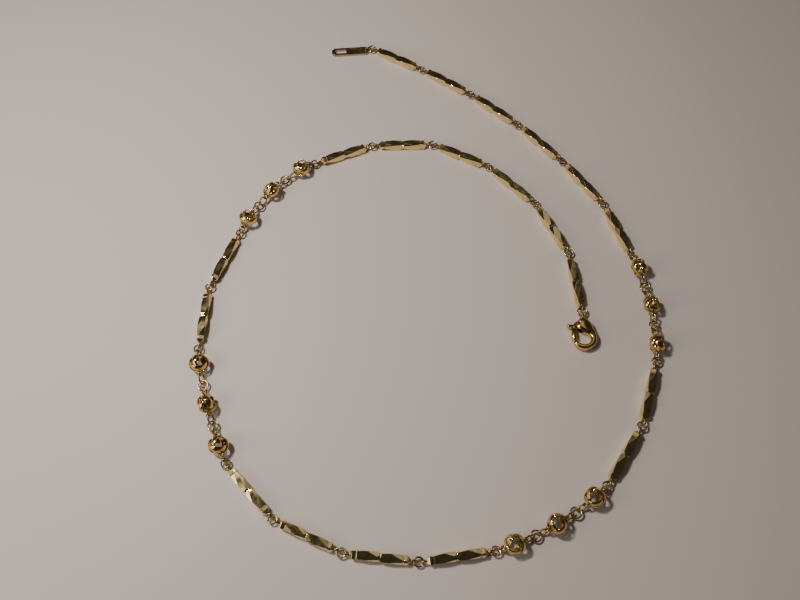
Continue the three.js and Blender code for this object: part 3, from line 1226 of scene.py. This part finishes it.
    def build(self, bench: Bench, place: Place) -> None:
        """Makes the clasp.

        Args:
            bench: Where shapes are finished.
            place: Where it lies.
        """
        body = bench.lay("clasp_claw", self._body(), place, Slot.CLASP, ["clasp_body"])
        self._hollow(body, place)
        eye = bmesh.new()
        self.eye.add_upright(eye, self.eye_middle)
        bench.lay("clasp_eye", eye, place, Slot.CLASP)
        lever = bmesh.new()
        stations = self._stations(self.lever_ribs, self.lever_height)
        Bench.draw(lever, stations, self.sides, closed=False, fullness=self.fullness)
        bench.lay("clasp_lever_arm", lever, place, Slot.CLASP, ["clasp_lever"], body="lever")
        tab = bmesh.new()
        Bench.draw(tab, self._stations(self.tab_ribs, self.lever_height), self.sides, closed=False)
        bench.lay("clasp_thumb_tab", tab, place, Slot.CLASP, body="lever")
        pin = bmesh.new()
        seat = shifted(StrapLay.PIVOT.x, StrapLay.PIVOT.y, self.middle)
        depth = 2 * self.middle - self.pin_short
        Bench.add_drum(pin, self.pin_sides, self.pin_radius, depth, seat)
        bench.lay("clasp_pivot_pin", pin, place, Slot.CLASP, ["clasp_pin"])
        bench.lay("clasp_coil", self._spring(), place, Slot.SPRING, ["clasp_spring"])

    def _spring(self) -> BMesh:
        """Shapes the small coil round the pin.

        Returns:
            The mesh.
        """
        bm = bmesh.new()
        stations = []
        for step in range(self.spring_steps + 1):
            share = step / self.spring_steps
            height = self.spring_bottom + share * (self.spring_top - self.spring_bottom)
            spot = (
                shifted(StrapLay.PIVOT.x, StrapLay.PIVOT.y, height)
                @ turned(share * self.spring_turns * FULL_TURN, "Z")
                @ shifted(self.spring_radius)
            )
            stations.append(Bench.section(spot, self.spring_wire, self.spring_wire))
        Bench.draw(bm, stations, self.spring_sides, closed=False)
        return bm


# ---- studio


@dataclass
class Studio:
    """The pale surface, the soft lights from the left and above, and the camera above."""

    camera_spot: Triple = (-9.1 * MM, -107.5 * MM, 206.0 * MM)
    camera_tilt: float = math.radians(24.7)
    lens: float = 31.9
    floor_size: float = 1.6
    floor_color: Triple = (0.74, 0.645, 0.595)
    floor_roughness: float = 0.6
    floor_drop: float = 0.02 * MM  # keeps the floor clear of what lies on it
    key_spot: Triple = (-0.17, 0.03, 0.30)
    key_size: float = 0.045
    key_power: float = 0.78
    key_color: Triple = (1.0, 0.95, 0.88)
    fill_spot: Triple = (-0.40, -0.16, 0.22)
    fill_size: float = 0.3
    fill_power: float = 0.62
    fill_color: Triple = (1.0, 1.0, 1.0)
    card_spot: Triple = (0.04, 0.215, 0.50)
    card_size: float = 0.24
    card_power: float = 0.075
    card_color: Triple = (1.0, 0.98, 0.94)
    sky_scale: float = 2.6
    sky_unevenness: float = 0.9
    sky_stops: tuple[tuple[float, Triple], ...] = (  # low in the room, high
        (0.45, (0.15, 0.145, 0.135)), (1.3 / 1.4, (0.03, 0.028, 0.025)),
    )

    def _light(
        self, name: str, spot: Sequence[float], size: float, power: float,
        color: Triple,
    ) -> None:
        """Adds a soft light that looks at the strap.

        Args:
            name: Its name.
            spot: Where it stands.
            size: The side of its square.
            power: Watts.
            color: Its colour.
        """
        lamp = bpy.data.lights.new(name, "AREA")
        lamp.size = size
        lamp.energy = power
        lamp.color = color
        stand = placed(name, lamp)
        stand.location = spot
        stand.rotation_euler = (-Vector(spot)).to_track_quat("-Z", "Y").to_euler()

    def _sky(self) -> None:
        """Sets a dim room: dark overhead, lighter towards the horizon."""
        world = bpy.data.worlds.new("room")
        bpy.context.scene.world = world
        sky = Paint(world, "Background")
        where = sky.node("ShaderNodeTexCoord").outputs["Generated"]
        split = sky.node("ShaderNodeSeparateXYZ")
        sky.link(where, split.inputs["Vector"])
        uneven = sky.node("ShaderNodeMath")
        uneven.operation = "MULTIPLY_ADD"
        uneven.inputs[1].default_value = self.sky_unevenness
        sky.link(sky.noise(where, self.sky_scale, detail=1.0), uneven.inputs[0])
        sky.link(split.outputs["Z"], uneven.inputs[2])
        ramp = sky.node("ShaderNodeValToRGB")
        sky.link(uneven.outputs["Value"], ramp.inputs["Fac"])
        for stop, (position, color) in zip(ramp.color_ramp.elements, self.sky_stops):
            stop.position = position
            stop.color = (*color, 1.0)
        sky.link(ramp.outputs["Color"], sky.shader.inputs["Color"])
        sky.shader.inputs["Strength"].default_value = 1.0

    def build(self) -> None:
        """Sets out the floor, the lights and the camera."""
        bm = bmesh.new()
        bmesh.ops.create_grid(bm, x_segments=1, y_segments=1, size=self.floor_size / 2)
        floor = placed("floor", bm)
        floor.location.z = -self.floor_drop
        paint = Paint(bpy.data.materials.new("pale_floor"))
        paint.shader.inputs["Base Color"].default_value = (*self.floor_color, 1.0)
        paint.shader.inputs["Roughness"].default_value = self.floor_roughness
        floor.data.materials.append(paint.owner)
        self._sky()
        self._light("key", self.key_spot, self.key_size, self.key_power, self.key_color)
        self._light("fill", self.fill_spot, self.fill_size, self.fill_power, self.fill_color)
        self._light("card", self.card_spot, self.card_size, self.card_power, self.card_color)
        lens = bpy.data.cameras.new("camera")
        lens.lens = self.lens
        lens.clip_start = 0.005
        lens.clip_end = 10.0
        camera = placed("camera", lens)
        camera.location = self.camera_spot
        camera.rotation_euler = (self.camera_tilt, 0.0, 0.0)
        bpy.context.scene.camera = camera


def main() -> None:
    """Builds every class in order."""
    logging.basicConfig(level=logging.INFO, format="%(name)s %(message)s")
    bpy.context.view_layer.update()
    record = frame["record"]
    lay = StrapLay(frame["joints"], record["mounts"])
    bench = Bench()
    Studio().build()
    EndTag().build(bench, lay.places[0])
    BarLink().build(bench, lay.of("bar"))
    LoveKnot().build(bench, lay)
    JumpRings().build(bench, lay, record["behaviour"]["bodies"])
    LobsterClasp().build(bench, lay.places[-1])


if __name__ == "__main__":
    main()
